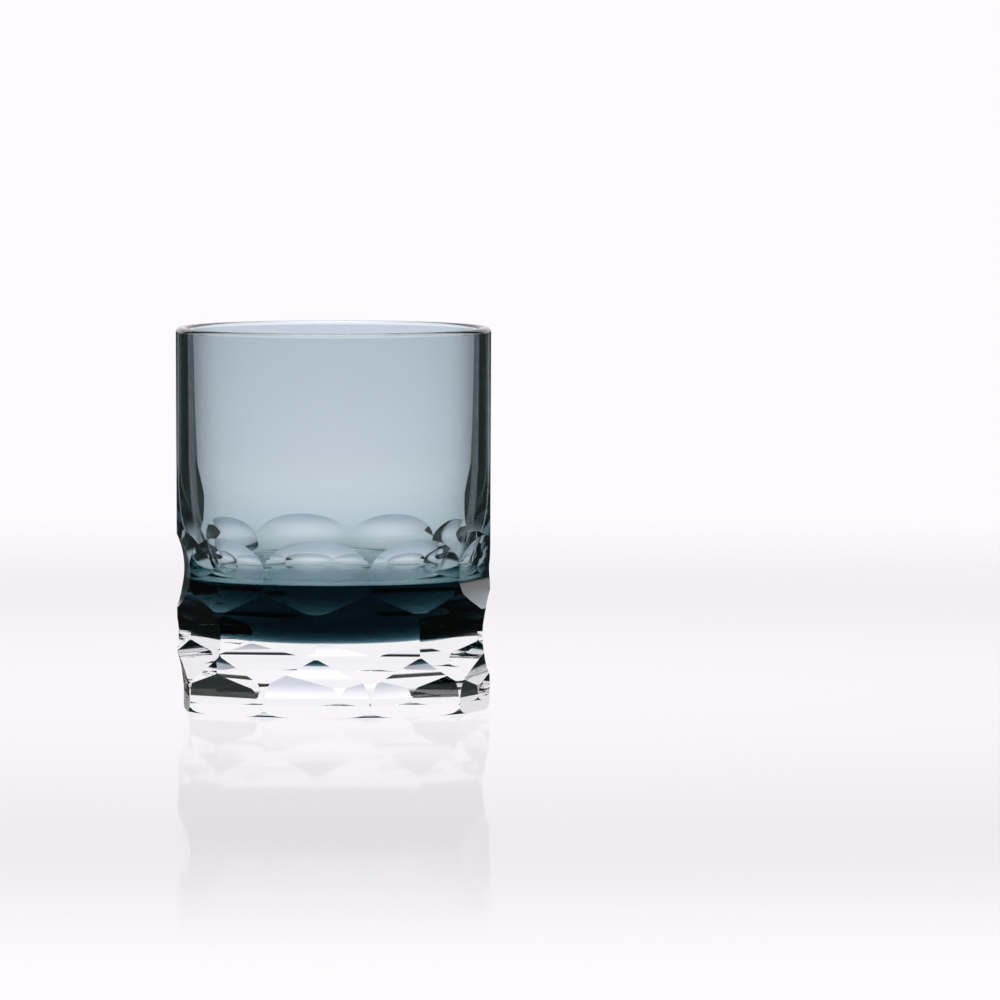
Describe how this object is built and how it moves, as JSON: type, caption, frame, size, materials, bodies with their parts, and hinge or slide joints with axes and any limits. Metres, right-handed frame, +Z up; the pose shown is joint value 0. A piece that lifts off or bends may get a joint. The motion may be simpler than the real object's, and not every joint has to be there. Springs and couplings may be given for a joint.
{
  "type": "whiskey tumbler",
  "caption": "Heavy-based whiskey tumbler with a smoke-tinted cup fused on to a clear crystal foot and rows of staggered hollow wheel cuts round its lower body.",
  "frame": {"origin": "centre of the underside", "axes": "+Z up along the tumbler's axis, -Y towards the viewer and through the middle of one upper cut, +X to the right"},
  "size_m": [0.0824, 0.0824, 0.1],
  "materials": {
    "smoke_glass": "polished",
    "clear_crystal": "polished"
  },
  "bodies": {
    "root": {"tinted_cup": "smoke_glass", "crystal_foot": "clear_crystal"}
  },
  "joints": []
}
